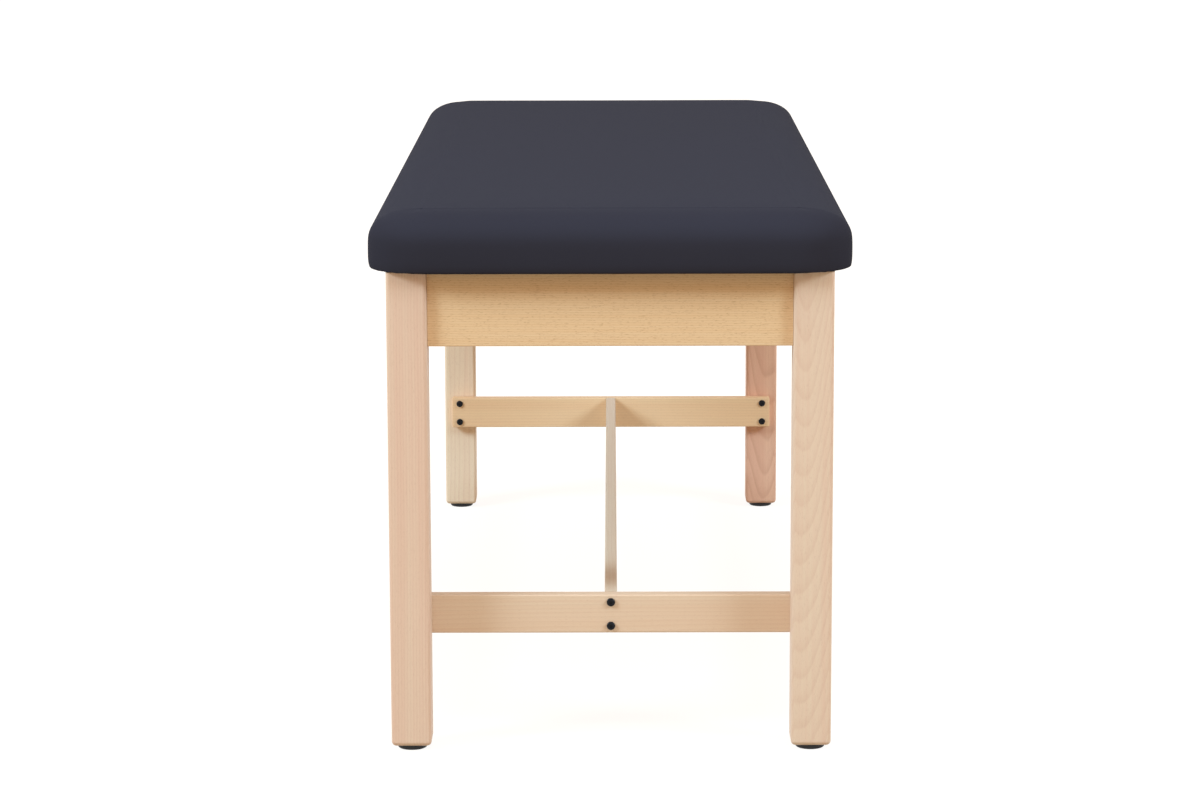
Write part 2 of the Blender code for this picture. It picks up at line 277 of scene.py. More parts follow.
class Value:
    # a socket that takes part in Python sums
    def __init__(self, socket):
        self.socket = socket

    def calc(self, operation, a, b):
        tree = self.socket.id_data
        node = tree.nodes.new("ShaderNodeMath")
        node.operation = operation
        for socket, value in zip(node.inputs, (a, b)):
            if isinstance(value, Value):
                tree.links.new(value.socket, socket)
            else:
                socket.default_value = value
        return Value(node.outputs[0])

    def __add__(self, other):
        return self.calc("ADD", self, other)

    def __radd__(self, other):
        return self.calc("ADD", other, self)

    def __sub__(self, other):
        return self.calc("SUBTRACT", self, other)

    def __rsub__(self, other):
        return self.calc("SUBTRACT", other, self)

    def __mul__(self, other):
        return self.calc("MULTIPLY", self, other)

    def __truediv__(self, other):
        return self.calc("DIVIDE", self, other)

    def __pow__(self, other):
        return self.calc("POWER", self, other)


class Nodes:
    def __init__(self, tree):
        self.tree = tree

    def node(self, kind, settings=None, values=None, out=0):
        node = self.tree.nodes.new("ShaderNode" + kind)
        for name, setting in (settings or {}).items():
            if name == "stops":
                ramp = node.color_ramp
                while len(ramp.elements) < len(setting):
                    ramp.elements.new(1)
                for element, (place, grey) in zip(ramp.elements, setting):
                    element.position = place
                    element.color = (grey, grey, grey, 1)
            else:
                setattr(node, name, setting)
        for name, value in (values or {}).items():
            if isinstance(value, Value):
                self.tree.links.new(value.socket, node.inputs[name])
            else:
                node.inputs[name].default_value = value
        return Value(node.outputs[out]) if node.outputs else node

    def ramp(self, value, *stops):
        return self.node("ValToRGB", {"stops": stops}, {"Fac": value})

    def stretch(self, vector, *scale):
        return self.node("Mapping", values={"Vector": vector, "Scale": scale})

    def noise(self, vector, scale=1.0, detail=2.0, roughness=0.5):
        return self.node("TexNoise", values={"Vector": vector, "Scale": scale, "Detail": detail,
                                             "Roughness": roughness})

    def blend(self, factor, a, b, kind="MIX"):
        return self.node("Mix", {"data_type": "RGBA", "blend_type": kind}, {0: factor, 6: a, 7: b}, out=2)

    def bump(self, height, strength, distance):
        return self.node("Bump", values={"Height": height, "Strength": strength, "Distance": distance})


class Finish(Nodes):
    def __init__(self, name, specular=0.5, **constants):
        self.material = bpy.data.materials.new(name)
        self.material.use_nodes = True
        super().__init__(self.material.node_tree)
        self.shader = self.tree.nodes["Principled BSDF"]
        self.place = self.node("TexCoord", out="Object")
        self.feed({"Specular IOR Level": specular, **constants})

    def feed(self, values):
        for name, value in values.items():
            if isinstance(value, Value):
                self.tree.links.new(value.socket, self.shader.inputs[name])
            else:
                self.shader.inputs[name].default_value = value


def tone(red, green, blue):
    # a colour as read from the photograph, 0 to 255, made linear
    parts = [value / 255 for value in (red, green, blue)]
    return (*[part / 12.92 if part < 0.04045 else ((part + 0.055) / 1.055) ** 2.4 for part in parts], 1)


# Camera, light and floor

studio = {
    "cameraPlace": (0.00222, -5.80989, 1.402), "lookDown": 0.17723, "lookRight": -0.00348, "roll": -0.00282,
    "lens": 104.75, "sensor": 36,
    "ambient": 0.5, "ambientColor": (1.34, 0.88, 0.52), "boxColor": (0.72, 1.0, 1.25), "boxDistance": 9.0,
    "boxes": {
        "softboxLeft": {"around": -58, "up": 33, "size": 2.6, "power": 510},
        "softboxRight": {"around": 56, "up": 33, "size": 2.6, "power": 362},
        "softboxAbove": {"around": 0, "up": 80, "size": 3.6, "power": 275},
    },
    "floorSize": 60, "floorColor": (0.42, 0.36, 0.27, 1), "floorShare": 0.5,
    "floorGlow": 0.85, "glowRise": 0.05,
}


def makeCamera(view):
    data = bpy.data.cameras.new("camera")
    data.lens = view["lens"]
    data.sensor_width = view["sensor"]
    camera = bpy.data.objects.new("camera", data)
    bpy.context.scene.collection.objects.link(camera)
    camera.matrix_world = (
        Matrix.Translation(view["cameraPlace"])
        @ Matrix.Rotation(-view["lookRight"], 4, "Z")
        @ Matrix.Rotation(math.radians(90) - view["lookDown"], 4, "X")
        @ Matrix.Rotation(view["roll"], 4, "Z")
    )
    bpy.context.scene.camera = camera


def seenRays(nodes):
    path = nodes.node("LightPath", out="Is Camera Ray").socket.node
    seen = Value(path.outputs["Is Camera Ray"])
    for ray in ("Is Glossy Ray", "Is Transmission Ray"):
        seen = seen.calc("MAXIMUM", seen, Value(path.outputs[ray]))
    return seen


def makeStudio(look):
    scene = bpy.context.scene
    scene.view_settings.view_transform = "Standard"
    scene.world = bpy.data.worlds.new("studio")
    scene.world.use_nodes = True
    world = Nodes(scene.world.node_tree)
    seen = seenRays(world)
    # white where it is seen; its light on the object is warm, which the cool boxes even out in front
    light = world.blend(seen, (*look["ambientColor"], 1), (1, 1, 1, 1))
    background = scene.world.node_tree.nodes["Background"]
    strength = seen * (1 - look["ambient"]) + look["ambient"]
    for name, value in (("Color", light), ("Strength", strength)):
        world.tree.links.new(value.socket, background.inputs[name])

    for name, box in look["boxes"].items():
        data = bpy.data.lights.new(name, "AREA")
        data.shape = "SQUARE"
        data.size = box["size"]
        data.energy = box["power"]
        data.color = look["boxColor"]
        lamp = bpy.data.objects.new(name, data)
        around, up = math.radians(box["around"]), math.radians(box["up"])
        level = Vector((math.sin(around), -math.cos(around), 0)) * math.cos(up)
        place = (level + Vector((0, 0, math.sin(up)))) * look["boxDistance"]
        lamp.matrix_world = facing(place, place)
        scene.collection.objects.link(lamp)

    deselectAll()
    bpy.ops.mesh.primitive_plane_add(size=look["floorSize"], location=(0, 0, 0))
    floor = bpy.context.object
    floor.name = "floor"
    material = bpy.data.materials.new("paleFloor")
    material.use_nodes = True
    nodes = Nodes(material.node_tree)
    nodes.tree.nodes.clear()
    # seen, the floor is white, fully so away from the table, with part of the table's shadow;
    # the table is lit by a matte floor
    seen = seenRays(nodes)
    matte = nodes.node("BsdfDiffuse", values={"Color": look["floorColor"]})
    dark = nodes.node("BsdfDiffuse", values={"Color": (0, 0, 0, 1)})
    kept = nodes.node("MixShader", values={0: seen * (1 - look["floorShare"]), 1: matte, 2: dark})
    spot = nodes.node("TexCoord", out="Object")
    away = nodes.node("VectorMath", {"operation": "LENGTH"}, {0: spot}, out="Value")
    white = away.calc("MINIMUM", away * look["glowRise"] + look["floorGlow"], 1)
    glow = nodes.node("Emission", values={"Color": (1, 1, 1, 1), "Strength": seen * white})
    nodes.node("OutputMaterial", values={"Surface": nodes.node("AddShader", values={0: kept, 1: glow})})
    floor.data.materials.append(material)


makeCamera(studio)
makeStudio(studio)
print("studio ready")


# Finishes

turns = {"x": (0, 0, 0), "y": (0, 0, math.radians(-90)), "z": (0, math.radians(90), 0)}
figure = {  # scales along the grain and across it, and how much each part counts
    "sway": (2.2, 12, 12), "broad": (0.9, 26, 26), "narrow": (1.4, 190, 190), "fibre": (16, 720, 720),
    "fleck": (190, 1500, 1500), "broadShare": 0.55, "narrowShare": 0.45, "roughness": 0.44,
    "fibreRoughness": 0.14, "bump": 0.12, "depth": 0.0003, "specular": 0.4,
}


def makeWood(name, look):
    # a solid log pattern: rings round a leaning heart, streaks, fibres and the short dark flecks of beech
    wood = Finish(name, specular=figure["specular"])
    grain = wood.node("Mapping", values={"Vector": wood.place, "Rotation": turns[look["along"]],
                                         "Location": look["heart"]})
    axes = wood.node("SeparateXYZ", values={"Vector": grain}).socket.node
    along, across, deep = (Value(socket) for socket in axes.outputs)

    def pattern(part, detail=2):
        return wood.noise(wood.stretch(grain, *figure[part]), detail=detail)

    sway = pattern("sway") - 0.5
    across = across + along * look["lean"][0] + sway * look["sway"]
    deep = deep + along * look["lean"][1]
    rings = (across * across + deep * deep) ** 0.5 / look["ring"]
    turn = wood.node("Math", {"operation": "FRACT"}, {0: rings})
    line = wood.ramp(turn, (0, 0.1), (0.5, 0.3), (0.88, 1), (1, 0.1))
    broad = wood.ramp(pattern("broad"), (0.35, 0), (0.65, 1))
    narrow = wood.ramp(pattern("narrow", 3), (0.32, 0), (0.68, 1))
    streak = broad * figure["broadShare"] + narrow * figure["narrowShare"]
    fibre = pattern("fibre")
    fleck = wood.ramp(pattern("fleck", 1), (0.6, 0), (0.7, 1))
    ground = wood.blend(streak, tone(*look["light"]), tone(*look["warm"]))
    ringed = wood.blend(line * look["ringDepth"], ground, tone(*look["dark"]))
    fibred = wood.blend(fibre * look["fibreDepth"], ringed, tone(*look["dark"]))
    color = wood.blend(fleck * look["fleckDepth"], fibred, tone(*look["fleck"]))
    wood.feed({
        "Base Color": color,
        "Roughness": figure["roughness"] + fibre * figure["fibreRoughness"],
        "Normal": wood.bump(fibre * 0.7 + line * 0.3, figure["bump"], figure["depth"]),
    })
    return wood.material


vinylLook = {"dark": (0.028, 0.0268, 0.0354, 1), "light": (0.033, 0.0316, 0.042, 1), "specular": 0.008,
             "cells": 850, "pores": 2600, "clouds": 3.5, "roughness": 0.66}


def makeVinyl(look):
    # a fine embossed leather grain
    vinyl = Finish("vinyl", specular=look["specular"])
    cells = vinyl.node("TexVoronoi", {"feature": "DISTANCE_TO_EDGE"},
                       {"Vector": vinyl.place, "Scale": look["cells"]})
    grain = vinyl.ramp(cells, (0, 0), (0.22, 1))
    cloud = vinyl.noise(vinyl.place, look["clouds"], 3)
    pores = vinyl.noise(vinyl.place, look["pores"])
    vinyl.feed({
        "Base Color": vinyl.blend(cloud, look["dark"], look["light"]),
        "Roughness": look["roughness"] + cloud * 0.08 - grain * 0.04,
        "Normal": vinyl.bump(grain * 0.7 + pores * 0.3, 0.16, 0.00012),
    })
    return vinyl.material


def makeFoam(dark=(0.5, 0.44, 0.27, 1), light=(0.78, 0.72, 0.5, 1), cells=700):
    foam = Finish("foam", Roughness=0.95)
    pores = foam.node("TexVoronoi", values={"Vector": foam.place, "Scale": cells})
    # each pore is darker in its hollow, where the bump sinks: painted shade
    depth = foam.ramp(pores, (0, 0), (0.5, 1))
    foam.feed({
        "Base Color": foam.blend(depth, dark, light),
        "Normal": foam.bump(depth, 0.5, 0.0006),
    })
    return foam.material


def makePlywood(birch=(0.62, 0.47, 0.3, 1), dark=(0.42, 0.27, 0.14, 1), glue=(0.27, 0.16, 0.08, 1),
                thick=0.0015):
    # birch faces with a sheet's broad figure; the plies show on the edges
    ply = Finish("plywood", specular=0.3)
    sheet = ply.noise(ply.stretch(ply.place, 9, 1.1, 1), 3, 4, 0.6)
    lines = ply.node("Math", {"operation": "FRACT"}, {0: sheet * 9})
    grain = ply.noise(ply.stretch(ply.place, 700, 12, 700), detail=3)
    height = Value(ply.node("SeparateXYZ", values={"Vector": ply.place}).socket.node.outputs["Z"])
    level = ply.node("Math", {"operation": "PINGPONG"}, {0: height, 1: thick}) / thick
    plies = ply.ramp(level, (0.35, 0), (0.65, 1))
    up = Value(ply.node("SeparateXYZ", values={"Vector": ply.node("TexCoord", out="Normal")})
               .socket.node.outputs["Z"])
    edge = 1 - ply.node("Math", {"operation": "ABSOLUTE"}, {0: up})
    face = ply.blend(lines * 0.25 + grain * 0.2, birch, dark)
    ply.feed({
        "Base Color": ply.blend(edge * plies * 0.8, face, glue),
        "Roughness": 0.6 + grain * 0.2,
        "Normal": ply.bump(grain, 0.2, 0.0003),
    })
    return ply.material


def makeBlackSteel(black=(0.004, 0.004, 0.006, 1), worn=(0.016, 0.016, 0.02, 1), patches=420):
    steel = Finish("blackSteel", specular=0.16)
    wear = steel.noise(steel.place, patches, 4, 0.65)
    steel.feed({
        "Base Color": steel.blend(steel.ramp(wear, (0.45, 0), (0.75, 1)), black, worn),
        "Roughness": 0.16 + wear * 0.2,
        "Normal": steel.bump(wear, 0.1, 0.0002),
    })
    return steel.material


def makeZinc(dark=(0.52, 0.53, 0.54, 1), light=(0.7, 0.7, 0.67, 1), crystals=160):
    zinc = Finish("zinc", Metallic=1.0)
    spangle = zinc.noise(zinc.place, crystals, 3, 0.6)
    scratch = zinc.noise(zinc.stretch(zinc.place, 900, 900, 90), detail=2)
    zinc.feed({
        "Base Color": zinc.blend(spangle, dark, light),
        "Roughness": 0.24 + spangle * 0.2 + scratch * 0.08,
        "Normal": zinc.bump(scratch, 0.1, 0.0001),
    })
    return zinc.material


def makePlastic(black=(0.007, 0.007, 0.008, 1), scuffed=(0.03, 0.03, 0.03, 1), grains=1400):
    plastic = Finish("glidePlastic", specular=0.4)
    sand = plastic.noise(plastic.place, grains, 2)
    rubbed = plastic.noise(plastic.stretch(plastic.place, 60, 300, 60), detail=4)
    scuff = plastic.ramp(rubbed, (0.5, 0), (0.8, 1))
    plastic.feed({
        "Base Color": plastic.blend(scuff * 0.5, black, scuffed),
        "Roughness": 0.5 + scuff * 0.2,
        "Normal": plastic.bump(sand, 0.2, 0.0001),
    })
    return plastic.material


# colours as read from the photograph, 0 to 255, and how strongly rings, fibres and flecks show on them;
# boards in the pad's shade get lighter colours, as painted light
pale = {"light": (231, 206, 180), "warm": (227, 191, 166), "dark": (196, 150, 120), "fleck": (176, 128, 98),
        "ringDepth": 0.22, "fibreDepth": 0.16, "fleckDepth": 0.16, "sway": 0.012}
golden = {"light": (238, 208, 166), "warm": (234, 197, 149), "dark": (198, 144, 92), "fleck": (166, 112, 66),
          "ringDepth": 0.3, "fibreDepth": 0.18, "fleckDepth": 0.4, "sway": 0.014}
brace = {"light": (232, 208, 180), "warm": (229, 198, 167), "dark": (200, 156, 118), "fleck": (178, 130, 94),
         "ringDepth": 0.18, "fibreDepth": 0.16, "fleckDepth": 0.18, "sway": 0.01}
# the far-right leg's redder wood, set lighter than the wood is, as painted light for the pad's shade on that
# leg
red = {"light": (242, 203, 173), "warm": (229, 180, 153), "dark": (190, 134, 108), "fleck": (164, 111, 87),
       "ringDepth": 0.35, "fibreDepth": 0.16, "fleckDepth": 0.14, "sway": 0.02}


def cut(palette, along, heart, lean, ring, **own):
    # a board's place in its log: its grain's way, the heart's place and lean, the ring width
    return {**palette, "along": along, "heart": heart, "lean": lean, "ring": ring, **own}


woods = {
    "legWoodNearLeft": cut(pale, "z", (0, 1.01, -0.11), (0.004, 0.006), 0.0036),
    "legWoodNearRight": cut(pale, "z", (0, 0.79, 0.275), (0.1, 0.01), 0.0042,
                            light=(232, 211, 184), warm=(229, 198, 172), dark=(202, 156, 130)),
    # a paler wood with less red, set lighter still as painted light for the pad's shade on this leg
    "legWoodFarLeft": cut(pale, "z", (0, -0.62, -0.2), (0.003, 0.005), 0.0038,
                          light=(247, 230, 201), warm=(243, 217, 189), dark=(209, 167, 137)),
    # a redder wood whose palette is set lighter, as painted light for the pad's shade on this leg
    "legWoodFarRight": cut(red, "z", (0, -0.92, 0.3), (0.08, 0.02), 0.0046),
    "apronWoodNear": cut(golden, "x", (0, 0.82, -0.38), (0.006, 0.01), 0.0034),
    "apronWoodFar": cut(golden, "x", (0.4, -0.95, -0.45), (0.01, 0.008), 0.0036),
    "apronWoodLeft": cut(golden, "y", (0.3, -0.36, -0.42), (0.006, 0.004), 0.0035),
    "apronWoodRight": cut(golden, "y", (0.9, 0.37, -0.47), (0.004, 0.006), 0.0037),
    "railWoodNear": cut(brace, "x", (0.2, 0.74, -0.12), (0.01, 0.004), 0.004),
    # a more golden wood, set lighter as painted light for the pad's shade on this rail
    "railWoodFar": cut(brace, "x", (0.7, -0.91, -0.1), (0.006, 0.006), 0.0038,
                       light=(246, 214, 170), warm=(242, 203, 158)),
    # a greyer copy of the brace wood: the grey is a painted sheen, the grazing reflection on its top
    "stretcherWood": cut(brace, "y", (0.4, 0.05, -0.26), (0.003, 0.004), 0.0042,
                         light=(226, 211, 187), warm=(223, 200, 173)),
    "blockWood": cut(brace, "x", (0.4, 0.3, -0.5), (0.02, 0.01), 0.0045,
                     light=(214, 180, 138), warm=(206, 168, 124)),
}
finishes = {name: makeWood(name, look) for name, look in woods.items()}
finishes.update(vinyl=makeVinyl(vinylLook), foam=makeFoam(), plywood=makePlywood(),
                blackSteel=makeBlackSteel(), zinc=makeZinc(), plastic=makePlastic())
print("finishes:", len(finishes))


# Holes for the straight fasteners

holes = {"screwBore": 0.0032, "room": 0.0003, "past": 0.002, "open": 0.01}


def lineOf(node):
    # a fastener's head or open end, the way that this looks, its length and its radius
    low, high = vectors(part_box(node))
    middle, size = (low + high) / 2, high - low
    if node.startswith("hanger_bolt"):
        way = Vector((-math.copysign(1, middle.x), -math.copysign(1, middle.y), 0)).normalized()
        radius = size.z / 2
        length = (size.x - 2 * radius * math.sqrt(0.5)) * math.sqrt(2)
    else:
        way = Vector((0, -math.copysign(1, middle.y), 0))
        if node.startswith("stretcher_bolt"):
            way = -way
        radius = size.x / 2
        length = size.y
    return middle + way * length / 2, way, length, radius


def headPlace(node):
    end, way = lineOf(node)[:2]
    return facing(way, end)


def drillFor(piece, node):
    end, way, length, radius = lineOf(node)
    bore = (holes["screwBore"] if "screw" in node or "stretcher" in node else radius) + holes["room"]
    cutter = plug(-length - holes["past"], holes["open"], bore, steps=24)
    cutter.data.transform(facing(way, end))
    carve(piece, cutter)


# Legs

leg = {"edgeRound": 0.005, "endRound": 0.007, "segments": 6, "wellRoom": 0.0003, "wellStart": 0.01,
       "plateDepth": 0.0018, "barrelBore": 0.0055, "stemBore": 0.0043, "stemRoom": 0.002}


def makeLegs(sizes):
    low, high = vectors(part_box("leg_near_left"))
    first = startBox("leg", low, high)
    side = sizes["edgeRound"] / sizes["endRound"]

    def share(middle, run):
        if abs(run.z) > 0.5:
            return side
        return 1.0 if middle.z < (low.z + high.z) / 2 else 0.0

    roundEdges(first, sizes["endRound"], sizes["segments"], share)
    # a well from below for the tee nut's plate and barrel, and for the stem above them
    teeLow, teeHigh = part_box("tee_nut_near_left")
    plate = (teeHigh[0] - teeLow[0]) / 2 + sizes["wellRoom"]
    barrel, bore = sizes["barrelBore"], sizes["stemBore"]
    start, seat = low.z - sizes["wellStart"], low.z + sizes["plateDepth"]
    barrelTop = teeHigh[2] + sizes["wellRoom"]
    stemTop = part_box("glide_stem_near_left")[1][2] + sizes["stemRoom"]
    well = turned("well", [(0, start), (plate, start), (plate, seat), (barrel, seat), (barrel, barrelTop),
                           (bore, barrelTop), (bore, stemTop), (0, stemTop)])
    well.data.transform(standing("leg_near_left"))
    carve(first, well)
    for corner in corners:
        node = f"leg_{corner}"
        move = Matrix.Translation(boxMiddle(node) - boxMiddle("leg_near_left"))
        piece = copyPiece(first, pieceName(node), move)
        for kind in ("rail_screw_{}_lower", "rail_screw_{}_upper", "hanger_bolt_{}"):
            drillFor(piece, kind.format(corner))
        finishPiece(piece, finishes[pieceName(f"leg_wood_{corner}")], [node])
    bpy.data.objects.remove(first)


makeLegs(leg)
print("legs done")


# Aprons and the brace

boards = {"apronRound": 0.0015, "railRound": 0.002, "segments": 4, "pocketRadius": 0.0053,
          "pocketDepth": 0.0073, "pocketOpen": 0.02}


def makeBoard(name, node, rounding, along=None, fasteners=()):
    # rounds the edges that run along one axis, or all of them
    piece = startBox(name, *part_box(node))
    roundEdges(piece, rounding, boards["segments"],
               lambda middle, run: 1.0 if along is None or abs(run[along]) > 0.5 else 0.0)
    for fastener in fasteners:
        drillFor(piece, fastener)
    return piece


def makeAprons(sizes):
    for word, along in (("near_end", 0), ("far_end", 0), ("left_side", 1), ("right_side", 1)):
        end = word.split("_")[0].capitalize()
        piece = makeBoard("apron" + end, f"{word}_apron", sizes["apronRound"], along)
        finishPiece(piece, finishes["apronWood" + end], [f"{word}_apron"])


def makeBrace(sizes):
    levels = ("lower", "upper")
    for end in ("near", "far"):
        screws = [f"rail_screw_{end}_{side}_{level}" for side in ("left", "right") for level in levels]
        screws += [f"stretcher_bolt_{end}_{level}" for level in levels]
        node = f"{end}_cross_rail"
        piece = makeBoard("rail" + end.capitalize(), node, sizes["railRound"], None, screws)
        finishPiece(piece, finishes["railWood" + end.capitalize()], [node])
    piece = makeBoard("longStretcher", "long_stretcher", sizes["railRound"], 1)
    for end in ("near", "far"):
        for level in levels:
            drillFor(piece, f"stretcher_bolt_{end}_{level}")
            pocket = plug(-sizes["pocketDepth"], sizes["pocketOpen"], sizes["pocketRadius"])
            pocket.data.transform(facing((1, 0, 0), boxMiddle(f"barrel_nut_{end}_{level}")))
            carve(piece, pocket)
    finishPiece(piece, finishes["stretcherWood"], ["long_stretcher"])


makeAprons(boards)
makeBrace(boards)
print("aprons and brace done")


# Corner blocks

block = {"thickness": 0.028, "rounding": 0.0012, "segments": 2, "halfLength": 0.2, "wellRadius": 0.0065,
         "wellStart": -0.1, "wellDepth": 0.0302, "screwBore": 0.0028, "past": 0.01}


def makeBlocks(sizes):
    half, reachX = sizes["thickness"] / 2, sizes["halfLength"]
    for corner, (side, end) in corners.items():
        node = f"corner_block_{corner}"
        low, high = vectors(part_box(node))
        outer = Vector((high.x if side > 0 else low.x, high.y if end > 0 else low.y, 0))
        span = max(high.x - low.x, high.y - low.y)
        # a bar square to the corner's diagonal, then its ends cut off along the aprons
        way = Vector((-side, -end, 0)).normalized()
        run = Vector((-way.y, way.x, 0))
        reach = (Vector((outer.x - side * span, outer.y, 0)) - outer).dot(way)
        middle = boxMiddle(node).z
        centre = Vector((outer.x, outer.y, middle)) + way * (reach - half)
        piece = startBox(pieceName(f"block_{corner}"), (-reachX, -half, low.z - middle),
                         (reachX, half, high.z - middle))
        turn = Vector((1, 0, 0)).rotation_difference(run).to_matrix().to_4x4()
        piece.data.transform(Matrix.Translation(centre) @ turn)
        edit(piece)
        cutAway(outer, (side, 0, 0))
        cutAway(outer, (0, end, 0))
        leaveEdit()
        roundEdges(piece, sizes["rounding"], sizes["segments"], lambda middle, run: 1.0)
        drillFor(piece, f"hanger_bolt_{corner}")
        # the board screw goes up through a narrow bore, from a wide well below it
        wide, bore, start = sizes["wellRadius"], sizes["screwBore"], sizes["wellStart"]
        seat, top = high.z - sizes["wellDepth"], high.z + sizes["past"]
        outline = [(0, start), (wide, start), (wide, seat), (bore, seat), (bore, top), (0, top)]
        well = turned("well", outline, 32)
        well.data.transform(standing(f"board_screw_{corner}"))
        carve(piece, well)
        finishPiece(piece, finishes["blockWood"], [node])


makeBlocks(block)
print("corner blocks done")


# Black screws and bolts of the brace

braceScrew = {"headRadius": 0.0061, "headHeight": 0.0036, "headRound": 0.0016, "angles": (0, 20, 45, 70, 90),
              "edge": 0.0003, "socket": 0.004, "socketDepth": 0.002, "dishShares": (0.75, 0.66),
              "dish": 0.0002, "shank": 0.0032, "taper": 0.002, "lift": 0.0003}


def makeBraceScrews(sizes):
    head, shank, edge, lift = (sizes[name] for name in ("headRadius", "shank", "edge", "lift"))
    top, turnings = sizes["headHeight"] + lift, [math.radians(angle) for angle in sizes["angles"]]
    rim = [(head - sizes["headRound"] * (1 - math.cos(turn)), top - sizes["headRound"] * (1 - math.sin(turn)))
           for turn in turnings]
    # a shallow dish round the socket
    outer, inner = (sizes["socket"] * share for share in sizes["dishShares"])
    dish = [(outer, top), (inner, top - sizes["dish"]), (0, top - sizes["dish"])]
    for kind in ("rail_screw", "stretcher_bolt"):
        tip = top - lineOf(next(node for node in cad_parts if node.startswith(kind)))[2]
        shaft = [(0, tip), (shank / 2, tip), (shank, tip + sizes["taper"]), (shank, lift),
                 (head - edge, lift), (head, lift + edge)]
        first = turned(kind, shaft + rim + dish, 64)
        carve(first, prism("socket", sizes["socket"], top - sizes["socketDepth"], top + 0.002))
        spread(first, kind, lambda node: headPlace(node) @ Matrix.Translation((0, 0, -top)),
               "blackSteel")


makeBraceScrews(braceScrew)
print("brace screws done")


# Zinc hardware: hanger bolts and nuts, board screws, cross dowel nuts and tee nuts

hanger = {"radius": 0.004, "core": 0.0033, "threadStart": 0.006, "threadEnd": 0.0005, "tipRadius": 0.0022,
          "tipLength": 0.008, "noseRadius": 0.0029, "noseLength": 0.001}


def makeHangers(sizes):
    length, core = lineOf("hanger_bolt_near_left")[2], sizes["core"]
    bolt = threaded("hangerBolt", sizes["radius"], -length + sizes["threadStart"], -sizes["threadEnd"])
    tip = plug(-length, -length + sizes["tipLength"], sizes["tipRadius"], core, 24)
    nose = plug(-sizes["noseLength"], 0, core, sizes["noseRadius"], 24)
    spread(joinPieces(bolt, tip, nose), "hanger_bolt", headPlace)


flangeNut = {  # the outlines are radius and height pairs
    "width": 0.013, "height": 0.008, "start": 0.0004,
    "dome": [(0, -0.01), (0.013, -0.01), (0.013, 0.0054), (0.00611, 0.008), (0, 0.0081)],
    "flange": [(0, 0), (0.0087, 0), (0.009, 0.0003), (0.009, 0.0011), (0.0065, 0.0022), (0, 0.0022)],
    "bore": [(0, -0.001), (0.00515, -0.001), (0.00415, 0.0006), (0.00415, 0.0074), (0.00515, 0.009),
             (0, 0.009)],
}


def makeFlangeNuts(sizes):
    height = sizes["height"]
    nut = prism("flangeNut", sizes["width"], sizes["start"], height)
    carve(nut, turned("dome", sizes["dome"], 64), "INTERSECT")
    carve(nut, turned("flange", sizes["flange"], 64), "UNION")
    carve(nut, turned("bore", sizes["bore"], 48))

    def nutPlace(node):
        corner = "_".join(node.split("_")[-2:])
        way = lineOf(f"hanger_bolt_{corner}")[1]
        return facing(way, boxMiddle(node)) @ Matrix.Translation((0, 0, -height / 2))

    spread(nut, "flange_nut", nutPlace)


boardScrew = {
    "head": [(0, 0), (0.0024, 0), (0.0041, 0.0008), (0.005, 0.0021), (0.005, 0.003), (0.0023, 0.003),
             (0.0023, 0.008), (0.0013, 0.008)],  # radius, and height above the head's low end
    "core": 0.0013, "point": 0.003, "slot": (0.0024, 0.0005), "slotDepth": 0.0018, "past": 0.001,
    "threadRadius": 0.0025, "threadStart": 0.009, "threadDepth": 0.0009, "pitch": 0.0016,
}


def makeBoardScrews(sizes):
    low, high = vectors(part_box("board_screw_near_left"))
    foot, tip = low.z, high.z
    end = tip - sizes["point"]
    outline = [(radius, foot + rise) for radius, rise in sizes["head"]]
    screw = turned("boardScrew", outline + [(sizes["core"], end), (0, tip)], 32)
    across, thick = sizes["slot"]
    cross = startBox("cross", (-across, -thick, foot - sizes["past"]),
                     (across, thick, foot + sizes["slotDepth"]))
    carve(screw, copyPiece(cross, "crossTwo", Matrix.Rotation(math.radians(90), 4, "Z")))
    carve(screw, cross)
    thread = threaded("thread", sizes["threadRadius"], foot + sizes["threadStart"], end, sizes["threadDepth"],
                      sizes["pitch"], 16)
    spread(joinPieces(screw, thread), "board_screw", standing)


dowelNut = {"radius": 0.005, "length": 0.014, "edge": 0.0005, "slotWidth": 0.0012, "slotDepth": 0.0012,
            "bore": 0.0035, "past": 0.01}


def makeDowelNuts(sizes):
    half, radius, edge, past = sizes["length"] / 2, sizes["radius"], sizes["edge"], sizes["past"]
    nut = turned("barrelNut", [(0, -half), (radius - edge, -half), (radius, -half + edge),
                               (radius, half - edge), (radius - edge, half), (0, half)])
    slot = startBox("slot", (-sizes["slotWidth"] / 2, -past, half - sizes["slotDepth"]),
                    (sizes["slotWidth"] / 2, past, half + 0.001))
    carve(nut, slot)
    bore = plug(-past, past, sizes["bore"])
    bore.data.transform(Matrix.Rotation(math.radians(90), 4, "X"))
    carve(nut, bore)
    spread(nut, "barrel_nut", lambda node: facing((1, 0, 0), boxMiddle(node)))


teeNut = {"bore": 0.0043, "bevel": 0.0004, "barrel": 0.0052, "plate": 0.0015, "edge": (0.0002, 0.0003)}


def makeTeeNuts(sizes):
    low, high = vectors(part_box("tee_nut_near_left"))
    bore, bevel, barrel, (inset, rise) = sizes["bore"], sizes["bevel"], sizes["barrel"], sizes["edge"]
    foot, flange, plateTop = low.z, (high.x - low.x) / 2, low.z + sizes["plate"]
    nut = turned("teeNut", [
        (bore + bevel, foot), (flange - inset, foot), (flange, foot + rise), (flange, plateTop),
        (barrel, plateTop), (barrel, high.z), (bore, high.z), (bore, foot + bevel), (bore + bevel, foot)], 64)
    spread(nut, "tee_nut", standing)


makeHangers(hanger)
makeFlangeNuts(flangeNut)
makeBoardScrews(boardScrew)
makeDowelNuts(dowelNut)
makeTeeNuts(teeNut)
print("zinc hardware done")


# Levelling glides: a disc on a threaded stem

